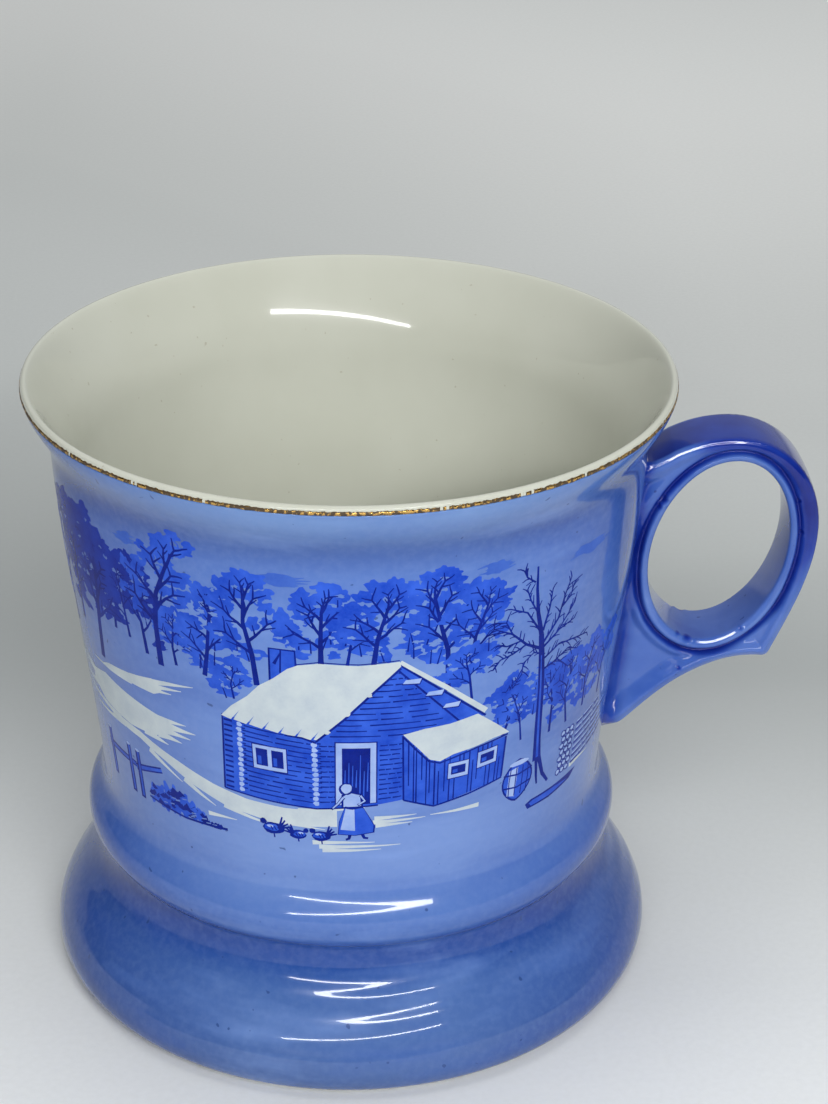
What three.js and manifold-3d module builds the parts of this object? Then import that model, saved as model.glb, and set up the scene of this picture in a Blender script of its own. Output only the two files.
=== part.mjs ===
// Shaving mug: a slip-cast porcelain cup with a heavy flared base, a rolled belt above the waist,
// a flared lip and a ring handle cast on its own and luted to the wall with slip.
// The layers that are put on after casting are pieces of their own: the blue outer glaze, the white
// liner glaze, the glaze under the foot, the handle's cobalt glaze, the printed scene and the gilt line.
// Millimetres, +Z up. The origin is on the cup's axis in the plane that it stands on.
// The handle points to +X, and the front of the printed scene faces -Y.
import * as THREE from 'three';
import { mergeVertices } from 'three/addons/utils/BufferGeometryUtils.js';
import Module from 'manifold-3d';

const wasm = await Module();
wasm.setup();

// Driving dimensions
const RIM_RADIUS = 47.5;
const HEIGHT = 96.3;
const BASE_RADIUS = 46.9;
const WAIST_RADIUS = 38.8;
const BELT_RADIUS = 41.1;
const FOOT_RADIUS = 43;
const FOOT_RING_WIDTH = 4.4;
const RECESS_DEPTH = 0.8;
const FLOOR_TOP = 5.4;
const GLAZE = 0.35;
const FILM = 0.12;
const CLEARANCE = 0.05;
const CUT_GAP = 0.3;
const SLIP_DEPTH = 0.7;
const HANDLE_THICKNESS = 10.6;
const HANDLE_ROUNDING = 2.2;
const BEAD_WIDTH = 2;
const BEAD_RISE = 0.5;
const SEGMENTS = 40;

// The outside of the cup from the foot's outer edge up to the lip's edge, as cubic Bezier stretches.
// Each row holds two control points, the end point as [radius, height], and the number of steps.
const OUTSIDE_START = [FOOT_RADIUS, 0];
const OUTSIDE = [
  [[45.4, 0.2], [BASE_RADIUS, 1.7], [BASE_RADIUS, 4], 3],
  [[BASE_RADIUS, 7.2], [44.6, 10.1], [42.4, 12.9], 3],
  [[40.4, 15.4], [WAIST_RADIUS, 17.6], [WAIST_RADIUS, 20.6], 3],
  [[WAIST_RADIUS, 22.3], [BELT_RADIUS, 22.5], [BELT_RADIUS, 25.6], 3],
  [[BELT_RADIUS, 28.7], [38.7, 29.2], [38.5, 32.4], 3],
  [[38.4, 35.8], [39.2, 42], [40.1, 50], 2],
  [[41.3, 60.6], [43.2, 74], [43.7, 85.5], 2],
  [[43.8, 87.2], [44.0, 88.3], [44.9, 90], 2],
  [[45.9, 91.8], [47.1, 93.4], [RIM_RADIUS, 95.1], 2],
];

// The inside from the lip's edge over the top and down to the floor's corner, in the same form.
const INSIDE = [
  [[RIM_RADIUS, 95.8], [47.4, HEIGHT], [46.8, HEIGHT], 2],
  [[46.3, HEIGHT], [45, 93.9], [43.5, 91], 3],
  [[42.3, 88.6], [40.9, 86], [40.3, 82], 2],
  [[39.3, 74], [36.9, 60], [35.2, 36], 3],
  [[34.6, 27], [34.8, 21.5], [37.2, 16], 3],
  [[38.6, 12.8], [39.4, FLOOR_TOP], [33, FLOOR_TOP], 4],
];

const FOOT_INNER_RADIUS = FOOT_RADIUS - FOOT_RING_WIDTH;
const RECESS_RADIUS = FOOT_INNER_RADIUS - 0.8;
const COAT_START = 1;
const FILM_BOTTOM = 35.5;
const FILM_TOP = 84.6;
const FILM_HALF_GAP_DEGREES = 19;

// The handle's outline from the wall's inside over the crown, around the bow, in along the lower
// bracket and down to the spur, as [x, z].
const HANDLE_START = [36, 82.2];
const HANDLE_OUTLINE = [
  [[40, 82.2], [44.4, 83], [47.4, 84.5], 3],
  [[50.4, 86], [53, 86.7], [56.4, 86.7], 4],
  [[63.9, 86.7], [70.4, 80.8], [70.4, 71.4], 7],
  [[70.4, 64.4], [67.2, 56.6], [64.1, 49.2], 5],
  [[60.2, 51], [54.2, 49.8], [48.6, 45.4], 5],
  [[45.5, 43], [43, 39.9], [40.6, 37.4], 3],
];
const HANDLE_END = [36, 37];
const HOLE_CENTRE = [54.9, 68.1];
const HOLE_HALF_WIDTH = 10.1;
const HOLE_HALF_HEIGHT = 15;
const HOLE_TILT = 0.225;

const COLOURS = {
  bisque: 0xe9e5da,
  blueGlaze: 0x6f86c8,
  cobaltGlaze: 0x3f59b4,
  linerGlaze: 0xdfe0d3,
  print: 0x2a48b8,
  gilt: 0xa8843f,
};

function bezierPath(start, stretches) {
  const points = [new THREE.Vector2(...start)];
  for (const [first, second, end, steps] of stretches) {
    const curve = new THREE.CubicBezierCurve(
      points.at(-1),
      new THREE.Vector2(...first),
      new THREE.Vector2(...second),
      new THREE.Vector2(...end),
    );
    points.push(...curve.getPoints(steps).slice(1));
  }
  return points;
}

// Moves an open outline sideways, to the right of its direction of travel when distance is positive.
function offsetPath(points, distance) {
  return points.map((point, i) => {
    const before = points[Math.max(i - 1, 0)];
    const after = points[Math.min(i + 1, points.length - 1)];
    const along = after.clone().sub(before).normalize();
    return new THREE.Vector2(point.x + along.y * distance, point.y - along.x * distance);
  });
}

// Turns a closed outline of [radius, height] points, given counter-clockwise, about the Z axis.
function revolve(points) {
  const outline = points[0].x === 0 ? points : [...points, points[0]];
  return new THREE.LatheGeometry(outline, SEGMENTS).rotateX(Math.PI / 2);
}

// Extrudes a shape drawn in the XZ plane, centred on Y = 0.
function extrudeAcross(shape, thickness, rounding, inset = 0) {
  const geometry = new THREE.ExtrudeGeometry(shape, {
    depth: thickness - 2 * rounding,
    bevelEnabled: rounding > 0,
    bevelThickness: rounding,
    bevelSize: rounding,
    bevelOffset: -rounding - inset,
    bevelSegments: 3,
    curveSegments: 1,
  });
  return geometry.translate(0, 0, rounding - thickness / 2).rotateX(Math.PI / 2);
}

// A closed geometry as a solid for boolean work: only position is kept, and slivers are dropped.
function toSolid(geometry) {
  const bare = geometry.clone();
  bare.deleteAttribute('normal');
  bare.deleteAttribute('uv');
  const merged = mergeVertices(bare, 1e-4);
  const triangles = [];
  for (let i = 0; i < merged.index.count; i += 3) {
    const [a, b, c] = [0, 1, 2].map((k) => merged.index.getX(i + k));
    if (a !== b && b !== c && c !== a) {
      triangles.push(a, b, c);
    }
  }
  return new wasm.Manifold(new wasm.Mesh({
    numProp: 3,
    vertProperties: new Float32Array(merged.attributes.position.array),
    triVerts: new Uint32Array(triangles),
  }));
}

function toGeometry(solid) {
  const mesh = solid.getMesh();
  const geometry = new THREE.BufferGeometry();
  geometry.setAttribute('position', new THREE.BufferAttribute(mesh.vertProperties, 3));
  geometry.setIndex(new THREE.BufferAttribute(mesh.triVerts, 1));
  geometry.computeVertexNormals();
  return geometry;
}

const outside = bezierPath(OUTSIDE_START, OUTSIDE);
const lipEdge = outside.at(-1);
const inside = bezierPath([lipEdge.x, lipEdge.y], INSIDE);

// The clay lies under the glaze, so its outlines are the finished outlines moved into the wall.
const coated = outside.filter((point) => point.y >= COAT_START);
const coatBack = offsetPath(coated, -GLAZE);
const clayOutside = offsetPath(coated, -GLAZE - CLEARANCE);
const linerBack = offsetPath(inside, -GLAZE);
const clayInside = offsetPath(inside, -GLAZE - CLEARANCE);

function makeCupBody() {
  const footEdge = outside.filter((point) => point.y < COAT_START);
  const floorHeight = FLOOR_TOP - GLAZE - CLEARANCE;
  return revolve([
    new THREE.Vector2(0, RECESS_DEPTH + GLAZE + CLEARANCE),
    new THREE.Vector2(RECESS_RADIUS, RECESS_DEPTH + GLAZE + CLEARANCE),
    new THREE.Vector2(RECESS_RADIUS + CLEARANCE, RECESS_DEPTH),
    new THREE.Vector2(FOOT_INNER_RADIUS, 0),
    ...footEdge,
    ...clayOutside.slice(0, -1),
    ...clayInside.slice(1),
    new THREE.Vector2(0, floorHeight),
  ]);
}

function makeUndersideGlaze() {
  return revolve([
    new THREE.Vector2(0, RECESS_DEPTH),
    new THREE.Vector2(RECESS_RADIUS, RECESS_DEPTH),
    new THREE.Vector2(RECESS_RADIUS - CLEARANCE, RECESS_DEPTH + GLAZE),
    new THREE.Vector2(0, RECESS_DEPTH + GLAZE),
  ]);
}

function makeLinerGlaze() {
  return revolve([
    new THREE.Vector2(0, FLOOR_TOP - GLAZE),
    ...linerBack.slice(1).reverse(),
    ...inside.slice(1),
    new THREE.Vector2(0, FLOOR_TOP),
  ]);
}

// The gilt line runs from the lip's edge part of the way over its rounded top.
function makeGiltLine() {
  const face = offsetPath(inside, CLEARANCE + FILM).slice(0, 2);
  const back = offsetPath(inside, CLEARANCE).slice(0, 2);
  return revolve([...face, ...back.reverse()]);
}

// A wedge that opens outwards from the axis and stands over the handle's side of the cup.
function handleSideWedge() {
  const reach = 2 * RIM_RADIUS;
  const halfWidth = reach * Math.tan(THREE.MathUtils.degToRad(FILM_HALF_GAP_DEGREES));
  const wedge = new THREE.Shape();
  wedge.moveTo(0, 0);
  wedge.lineTo(reach, -halfWidth);
  wedge.lineTo(reach, halfWidth);
  return toSolid(new THREE.ExtrudeGeometry(wedge, { depth: HEIGHT, bevelEnabled: false }));
}

function makeTransfer() {
  const wall = outside.filter((point) => point.y >= FILM_BOTTOM && point.y <= FILM_TOP);
  const atHeight = (height) => {
    const above = outside.findIndex((point) => point.y >= height);
    const [low, high] = [outside[above - 1], outside[above]];
    return low.clone().lerp(high, (height - low.y) / (high.y - low.y));
  };
  const run = [atHeight(FILM_BOTTOM), ...wall, atHeight(FILM_TOP)];
  const back = offsetPath(run, CLEARANCE);
  const face = offsetPath(run, CLEARANCE + FILM);
  return toGeometry(toSolid(revolve([...face, ...back.reverse()])).subtract(handleSideWedge()));
}

function handleShape() {
  const shape = new THREE.Shape(bezierPath(HANDLE_START, HANDLE_OUTLINE));
  shape.lineTo(...HANDLE_END);
  return shape;
}

function holeShape(growth) {
  const hole = new THREE.Shape();
  hole.absellipse(0, 0, HOLE_HALF_WIDTH + growth, HOLE_HALF_HEIGHT + growth, 0, 2 * Math.PI, false, 0);
  const points = hole.getSpacedPoints(28).slice(0, -1);
  const turned = points.map((point) => point.rotateAround(new THREE.Vector2(), -HOLE_TILT));
  return new THREE.Shape(turned.map((point) => point.add(new THREE.Vector2(...HOLE_CENTRE))));
}

// Everything inside the clay's outer surface, moved outwards by a distance.
function cupCore(distance) {
  const wall = offsetPath(clayOutside, distance);
  return toSolid(revolve([
    new THREE.Vector2(0, wall[0].y),
    ...wall,
    new THREE.Vector2(0, wall.at(-1).y),
  ]));
}

// The handle before it is cut to the wall, with every surface moved inwards by inset.
function handleBlank(inset) {
  const thickness = HANDLE_THICKNESS - 2 * inset;
  const slab = toSolid(extrudeAcross(handleShape(), thickness, HANDLE_ROUNDING, inset));
  const beadShape = holeShape(BEAD_WIDTH - inset);
  const bead = toSolid(extrudeAcross(beadShape, thickness + 2 * BEAD_RISE, 0));
  const hole = toSolid(extrudeAcross(holeShape(inset), 2 * HANDLE_THICKNESS, 0));
  return slab.add(bead).subtract(hole);
}

const rootCut = cupCore(2 * CUT_GAP + SLIP_DEPTH);
const footprint = toSolid(extrudeAcross(handleShape(), HANDLE_THICKNESS, HANDLE_ROUNDING));

function makeHandle() {
  return toGeometry(handleBlank(GLAZE + CLEARANCE).subtract(rootCut));
}

function makeHandleGlaze() {
  const shell = handleBlank(0).subtract(handleBlank(GLAZE));
  return toGeometry(shell.subtract(rootCut));
}

// The luting slip fills the seat between the clay wall and the end of the handle.
function makeLutingSlip() {
  const seat = cupCore(CUT_GAP + SLIP_DEPTH).subtract(cupCore(CUT_GAP));
  return toGeometry(seat.intersect(footprint));
}

// The coat is left off where the handle is luted to the clay.
function makeOuterGlaze() {
  const coat = toSolid(revolve([...coated, ...coatBack.reverse()]));
  const grown = extrudeAcross(handleShape(), HANDLE_THICKNESS + 2 * CUT_GAP, HANDLE_ROUNDING, -CUT_GAP);
  return toGeometry(coat.subtract(toSolid(grown)));
}

const mug = new THREE.Group();

function addPiece(name, geometry, color, roughness, metalness = 0) {
  const piece = new THREE.Mesh(geometry, new THREE.MeshStandardMaterial({ color, roughness, metalness }));
  piece.name = name;
  mug.add(piece);
}

addPiece('cup_body', makeCupBody(), COLOURS.bisque, 0.75);
addPiece('outer_blue_glaze', makeOuterGlaze(), COLOURS.blueGlaze, 0.12);
addPiece('liner_glaze', makeLinerGlaze(), COLOURS.linerGlaze, 0.12);
addPiece('underside_glaze', makeUndersideGlaze(), COLOURS.linerGlaze, 0.15);
addPiece('handle', makeHandle(), COLOURS.bisque, 0.75);
addPiece('handle_luting_slip', makeLutingSlip(), COLOURS.bisque, 0.8);
addPiece('handle_cobalt_glaze', makeHandleGlaze(), COLOURS.cobaltGlaze, 0.12);
addPiece('winter_scene_transfer', makeTransfer(), COLOURS.print, 0.2);
addPiece('gilt_rim_line', makeGiltLine(), COLOURS.gilt, 0.35, 1);

export default mug;
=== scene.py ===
"""Shaving mug: the looks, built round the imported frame.

Lengths are millimetres until a mesh is made, and metres from there on. The cup's surfaces are turned from
one outline, the handle is a height field round its finger hole, and the printed scene is drawn flat, in
millimetres along the wall and up it, cut into one sheet of regions and laid on the wall as thin inks.
"""

import copy
import math
import random

import bpy
import numpy as np
from mathutils import Matrix, Vector, geometry, noise


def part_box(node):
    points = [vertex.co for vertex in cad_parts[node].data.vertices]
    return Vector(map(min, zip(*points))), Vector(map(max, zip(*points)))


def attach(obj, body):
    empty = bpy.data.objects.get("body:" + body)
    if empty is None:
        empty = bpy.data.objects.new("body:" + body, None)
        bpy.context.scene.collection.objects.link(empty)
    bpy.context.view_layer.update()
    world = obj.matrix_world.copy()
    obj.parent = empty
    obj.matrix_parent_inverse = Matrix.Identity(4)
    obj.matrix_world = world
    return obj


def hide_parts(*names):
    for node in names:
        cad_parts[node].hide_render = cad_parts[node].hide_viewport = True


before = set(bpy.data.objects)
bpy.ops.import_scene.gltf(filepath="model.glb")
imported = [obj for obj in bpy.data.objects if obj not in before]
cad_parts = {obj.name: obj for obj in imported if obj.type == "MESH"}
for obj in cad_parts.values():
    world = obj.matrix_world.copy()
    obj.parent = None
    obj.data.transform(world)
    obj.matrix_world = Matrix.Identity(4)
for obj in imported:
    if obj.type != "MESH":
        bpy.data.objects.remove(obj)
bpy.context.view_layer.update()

MM = 0.001
BODY = "root"


# ---- the frame's own sizes

RIM_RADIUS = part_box("outer_blue_glaze")[1][1] / MM
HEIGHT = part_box("liner_glaze")[1][2] / MM
HANDLE_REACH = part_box("handle_cobalt_glaze")[1][0] / MM

# The same outlines as the solids have, as Bezier stretches of [radius, height].
BASE_RADIUS = 46.9
WAIST_RADIUS = 38.8
BELT_RADIUS = 41.1
FOOT_RADIUS = 43
FOOT_INNER_RADIUS = 38.6
RECESS_RADIUS = 37.8
RECESS_DEPTH = 0.8
FLOOR_TOP = 5.4
GLAZE = 0.35
GLAZE_START = 0.4
OUTSIDE_START = (FOOT_RADIUS, 0)
OUTSIDE = [
    ((45.4, 0.2), (BASE_RADIUS, 1.7), (BASE_RADIUS, 4)),
    ((BASE_RADIUS, 7.2), (44.6, 10.1), (42.4, 12.9)),
    ((40.4, 15.4), (WAIST_RADIUS, 17.6), (WAIST_RADIUS, 20.6)),
    ((WAIST_RADIUS, 22.3), (BELT_RADIUS, 22.5), (BELT_RADIUS, 25.6)),
    ((BELT_RADIUS, 28.7), (38.7, 29.2), (38.5, 32.4)),
    ((38.4, 35.8), (39.2, 42), (40.1, 50)),
    ((41.3, 60.6), (43.2, 74), (43.7, 85.5)),
    ((43.8, 87.2), (44, 88.3), (44.9, 90)),
    ((45.9, 91.8), (47.1, 93.4), (RIM_RADIUS, 95.1)),
]
INSIDE = [
    ((RIM_RADIUS, 95.8), (47.4, HEIGHT), (46.8, HEIGHT)),
    ((46.3, HEIGHT), (45, 93.9), (43.5, 91)),
    ((42.3, 88.6), (40.9, 86), (40.3, 82)),
    ((39.3, 74), (36.9, 60), (35.2, 36)),
    ((34.6, 27), (34.8, 21.5), (37.2, 16)),
    ((38.6, 12.8), (39.4, FLOOR_TOP), (33, FLOOR_TOP)),
]


def bezier_path(start, stretches, steps):
    points = [np.array(start, float)]
    for first, second, end in stretches:
        a = points[-1]
        b, c, d = (np.array(p, float) for p in (first, second, end))
        for t in np.linspace(0, 1, steps + 1)[1:]:
            s = 1 - t
            points.append(s**3 * a + 3 * s * s * t * b + 3 * s * t * t * c + t**3 * d)
    return np.array(points)


def offset_path(points, distance):
    """Moves an outline sideways, to the right of its direction of travel when distance is positive."""
    along = np.gradient(points, axis=0)
    along /= np.linalg.norm(along, axis=1)[:, None]
    return points + distance * np.stack([along[:, 1], -along[:, 0]], 1)


outside = bezier_path(OUTSIDE_START, OUTSIDE, 22)
inside = bezier_path(outside[-1], INSIDE, 16)


def smooth_step(low, high, value):
    """0 below low and 1 above high, or the other way round when low is the greater."""
    t = np.clip((value - low) / (high - low), 0, 1)
    return t * t * (3 - 2 * t)


def unevenness(radius, height, angle):
    """How far hand finishing leaves the outside from true: faint rings on the base, slow waves above."""
    on_base = smooth_step(4.5, 7.5, height) * (1 - smooth_step(15, 17.5, height))
    patchy = 0.3 + 0.7 * np.cos(angle + math.pi / 2) ** 8 + 0.25 * np.sin(5 * angle + 1)
    phase = 1.6 * np.sin(2 * angle + 0.6) + 0.5 * np.sin(7 * angle)
    rings = 0.07 * on_base * patchy * np.sin(2 * math.pi * height / 2.9 + phase)
    waves = 0.03 * np.sin(2 * angle + 1.1) * np.sin(height / 17) + 0.014 * np.sin(7 * angle + height / 9)
    return rings + waves * smooth_step(2, 8, height)


def true_radius(height):
    """The outside's radius at a height, for the stretch that has one radius at each height."""
    return np.interp(height, outside[:, 1], outside[:, 0])


# ---- meshes

def add_object(name, data):
    thing = bpy.data.objects.new(name, data)
    bpy.context.scene.collection.objects.link(thing)
    return thing


def add_mesh(name, vertices, faces, look):
    """A smooth-shaded piece from vertices in millimetres."""
    mesh = bpy.data.meshes.new(name)
    mesh.from_pydata((np.asarray(vertices, float) * MM).tolist(), [], [list(map(int, f)) for f in faces])
    mesh.polygons.foreach_set("use_smooth", np.full(len(mesh.polygons), True))
    mesh.materials.append(look)
    mesh.update()
    return add_object(name, mesh)


def settle(piece, slot_name, *nodes):
    """Every piece rides on the mug's one body and hides the solids that it stands for; slot_name is not used.
    """
    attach(piece, BODY)
    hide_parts(*nodes)


def skin(rings):
    """The faces between each ring of vertex numbers and the next: quads, or triangles at a pole."""
    faces = []
    for low, high in zip(rings, rings[1:]):
        for i in range(len(low)):
            j = (i + 1) % len(low)
            faces.append(list(dict.fromkeys((low[i], low[j], high[j], high[i]))))
    return faces


def turn(name, outline, look, segments=320, uneven=0):
    """Turns an outline of (radius, height), given counter-clockwise, about the cup's axis."""
    angles = np.arange(segments) * 2 * math.pi / segments
    vertices = []
    rings = []
    for radius, height in outline:
        start = len(vertices)
        if radius == 0:
            vertices.append((0, 0, height))
            rings.append([start] * segments)
            continue
        radii = radius + uneven * unevenness(radius, height, angles)
        vertices.extend(zip(radii * np.cos(angles), radii * np.sin(angles), np.full(segments, height)))
        rings.append(range(start, start + segments))
    closing = [] if outline[0][0] == 0 else rings[:1]
    return add_mesh(name, vertices, skin(rings + closing), look)


# ---- materials

def linear(hex_colour):
    """A colour written as on a screen, as the linear numbers that shaders use."""
    parts = [int(hex_colour[i:i + 2], 16) / 255 for i in (0, 2, 4)]
    return tuple(c / 12.92 if c <= 0.04045 else ((c + 0.055) / 1.055) ** 2.4 for c in parts) + (1,)


class Nodes:
    """The nodes of a material or a world, and short ways to add and join them."""

    def __init__(self, owner):
        self.owner = owner
        owner.use_nodes = True
        self.tree = owner.node_tree
        self.shader = self.tree.nodes.get("Principled BSDF")

    def add(self, kind, inputs=(), **settings):
        node = self.tree.nodes.new("ShaderNode" + kind)
        for key, value in settings.items():
            setattr(node, key, value)
        for key, value in dict(inputs).items():
            self.put(node.inputs[key], value)
        return node

    def put(self, socket, value):
        if isinstance(value, bpy.types.NodeSocket):
            self.tree.links.new(value, socket)
        else:
            socket.default_value = linear(value) if isinstance(value, str) else value

    def place(self, scale=(1, 1, 1)):
        """The point on the mug, in metres, times a scale on each axis."""
        point = self.add("TexCoord").outputs["Object"]
        return self.add("Mapping", {"Vector": point, "Scale": scale}).outputs["Vector"]

    def speckle(self, scale, detail=3, stretch=(1, 1, 1), roughness=0.55):
        inputs = {"Vector": self.place(stretch), "Scale": scale, "Detail": detail, "Roughness": roughness}
        return self.add("TexNoise", inputs).outputs["Fac"]

    def ramp(self, value, *stops, ease="LINEAR"):
        """Colours at positions from 0 to 1."""
        node = self.add("ValToRGB", {"Fac": value})
        node.color_ramp.interpolation = ease
        elements = node.color_ramp.elements
        for i, (position, colour) in enumerate(stops):
            element = elements[i] if i < 2 else elements.new(position)
            element.position = position
            element.color = linear(colour)
        return node.outputs["Color"]

    def mix(self, factor, first, second, blend="MIX"):
        node = self.add("Mix", data_type="RGBA", blend_type=blend)
        for index, value in ((0, factor), (6, first), (7, second)):
            self.put(node.inputs[index], value)
        return node.outputs[2]

    def remap(self, value, low, high, to_low=0, to_high=1):
        inputs = {"Value": value, "From Min": low, "From Max": high, "To Min": to_low, "To Max": to_high}
        return self.add("MapRange", inputs).outputs["Result"]

    def axes(self):
        return self.add("SeparateXYZ", {"Vector": self.place()}).outputs

    def uneven(self, scale, detail, low, high):
        """A value that drifts between two others."""
        return self.remap(self.speckle(scale, detail), 0.3, 0.7, low, high)

    def specks(self, ground, scale, least, full, most, colour):
        """A scatter of small specks over a ground."""
        return self.mix(self.remap(self.speckle(scale, 1), least, full, 0, most), ground, colour)

    def bump(self, scale, detail, strength, distance=0.0004):
        inputs = {"Height": self.speckle(scale, detail), "Strength": strength, "Distance": distance}
        self.put(self.shader.inputs["Normal"], self.add("Bump", inputs).outputs["Normal"])

    def combine(self, first, second, operation="ADD"):
        return self.add("Math", {0: first, 1: second}, operation=operation).outputs["Value"]

    def finish(self, colour, roughness, coat=0, metallic=0, gloss=0.16):
        for key, value in {
            "Base Color": colour,
            "Roughness": roughness,
            "Metallic": metallic,
            "Coat Weight": coat,
            "Coat Roughness": 0.02,
            "Specular IOR Level": gloss,
        }.items():
            self.put(self.shader.inputs[key], value)
        return self.owner


def material(name):
    return Nodes(bpy.data.materials.new(name))


def blue_glaze():
    """The sprayed blue ground: paler behind the horizon of the scene and deeper at the sky and foot, with
    painted shade at the waist under the belt, painted shade and a painted reflection along the crease under
    the lip, and painted shade towards the sides.
    """
    m = material("blue_glaze")
    level = m.remap(m.axes()["Z"], 0, HEIGHT * MM)
    ground = m.ramp(
        level,
        (0, "3c568c"),
        (0.09, "5270ac"),
        (0.15, "4a6caa"),
        # Painted shade: the dark band at the waist stands for the shadow under the belt.
        (0.185, "244a98"),
        (0.222, "1c4290"),
        (0.25, "4365ae"),
        (0.3, "5f80c2"),
        (0.38, "728fcc"),
        (0.56, "7090d0"),
        (0.8, "587bc4"),
        (0.875, "587bc4"),
        # Painted shade and reflection: a dark line at the crease under the lip's flare, with a pale band
        # above it.
        (0.92, "20418a"),
        (0.96, "7193cc"),
        (1, "6a8bc2"),
        ease="B_SPLINE",
    )
    drifts = m.speckle(22, 4, (1, 1, 5))
    ground = m.mix(m.remap(drifts, 0.5, 0.75, 0, 0.55), ground, "4062b2")
    ground = m.mix(m.remap(drifts, 0.46, 0.3, 0, 0.4), ground, "86a6e2")
    # Painted shade: the wall is multiplied darker towards both sides, where it turns away from the light.
    sideways = m.remap(m.combine(m.axes()["X"], 0, "ABSOLUTE"), 0.015, 0.041, 0, 0.9)
    ground = m.mix(sideways, ground, "9dbce8", "MULTIPLY")
    ground = m.mix(m.remap(m.speckle(900, 4), 0.4, 0.8, 0, 0.1), ground, "93abd8")
    ground = m.specks(ground, 700, 0.76, 0.785, 0.7, "2a447c")
    m.bump(55, 2, 0.1)
    return m.finish(ground, m.uneven(160, 3, 0.12, 0.2), coat=0.5)


def cobalt_glaze():
    """Cobalt glaze, paler over edges and darker in hollows, from the pooling stored in the mesh, which also
    holds painted shade along the top of the handle's outer rim.
    """
    m = material("cobalt_glaze")
    # The stored pooling is glaze pooling, plus painted shade along the top of the outer rim.
    pooled_with_rim_shade = m.add("Attribute", attribute_name="pooling").outputs["Fac"]
    colour = m.ramp(
        m.combine(pooled_with_rim_shade, m.uneven(110, 4, -0.12, 0.12)),
        (0, "849dd2"),
        (0.25, "5876bc"),
        (0.5, "4263b0"),
        (0.75, "1d3a98"),
        (1, "0b1f7a"),
    )
    colour = m.specks(colour, 800, 0.75, 0.78, 0.6, "18286e")
    m.bump(120, 2, 0.12)
    return m.finish(colour, m.uneven(160, 3, 0.1, 0.18), coat=0.5)


def white_glaze(name, shade="caccc0"):
    m = material(name)
    colour = m.mix(m.remap(m.speckle(45, 4), 0.35, 0.75, 0, 0.4), shade, "b9bbac")
    colour = m.specks(colour, 1100, 0.78, 0.8, 0.5, "a39c88")
    m.bump(60, 2, 0.08)
    return m.finish(colour, m.uneven(150, 3, 0.12, 0.2), coat=0.5)


def bisque():
    """Unglazed porcelain, chalky and a little soiled where it stands."""
    m = material("bisque_porcelain")
    colour = m.mix(m.remap(m.speckle(140, 5), 0.45, 0.75, 0, 0.7), "ebe7dc", "b7ab95")
    m.bump(2600, 3, 0.35, 0.0001)
    return m.finish(colour, m.uneven(700, 2, 0.62, 0.85))


def ink(name, thin, full, spread=300):
    """A printed ink, uneven as a litho tint is: thin and full are its lightest and darkest colours."""
    m = material(name)
    wash = m.mix(m.remap(m.speckle(spread, 4), 0.33, 0.7), full, thin)
    colour = m.mix(m.remap(m.speckle(2400, 2), 0.3, 0.8, 0, 0.25), wash, thin)
    m.bump(55, 2, 0.1)
    return m.finish(colour, m.uneven(160, 3, 0.12, 0.2), coat=0.06, gloss=0.06)


def gilt():
    """Bright gold, rubbed through to brown size in specks and short scratches."""
    m = material("gilt")
    rubbed = m.speckle(1500, 3)
    shine = m.remap(rubbed, 0.49, 0.55)
    colour = m.mix(shine, "4a3a26", "d6ab62")
    m.bump(1900, 2, 0.5, 0.0001)
    return m.finish(colour, m.remap(rubbed, 0.4, 0.6, 0.55, 0.2), metallic=shine, gloss=0.5)


# ---- the cup

def make_cup():
    """The casting, the blue coat outside, the white lining over the lip and the glaze underneath."""
    coated = outside[outside[:, 1] >= GLAZE_START]
    clay_wall = offset_path(coated, -GLAZE)
    clay_inside = offset_path(inside, -GLAZE)
    foot_edge = outside[outside[:, 1] < GLAZE_START]
    ceiling = RECESS_DEPTH + GLAZE
    casting = np.vstack([
        [(0, ceiling), (RECESS_RADIUS, ceiling), (RECESS_RADIUS, RECESS_DEPTH), (FOOT_INNER_RADIUS, 0)],
        foot_edge,
        clay_wall[:-1:3],
        clay_inside[1::3],
        [(0, FLOOR_TOP - GLAZE)],
    ])
    settle(turn("cup_casting", casting, bisque_look, 160), "bisque_porcelain", "cup_body")

    coat = np.vstack([coated, clay_wall[::-3]])
    settle(turn("blue_coat", coat, blue_look, uneven=1), "blue_glaze", "outer_blue_glaze")

    lining = np.vstack([
        [(0, FLOOR_TOP - GLAZE)],
        clay_inside[:0:-3],
        inside[1:],
        [(0, FLOOR_TOP)],
    ])
    settle(turn("white_lining", lining, white_look), "white_glaze", "liner_glaze")

    disc = [
        (0, RECESS_DEPTH),
        (RECESS_RADIUS * 0.5, RECESS_DEPTH),
        (RECESS_RADIUS - 0.6, RECESS_DEPTH),
        (RECESS_RADIUS + 0.1, RECESS_DEPTH - 0.25),
        (RECESS_RADIUS, RECESS_DEPTH + GLAZE),
        (0, RECESS_DEPTH + GLAZE),
    ]
    settle(turn("underside_coat", disc, underside_look, 160), "white_glaze", "underside_glaze")


GILT_SEGMENTS = 1440
GILT_START = 0.08
GILT_END = 0.62
GILT_HALF_THICKNESS = 0.03
GILT_CROWN = 0.045
GILT_WORN = 0.55


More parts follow.
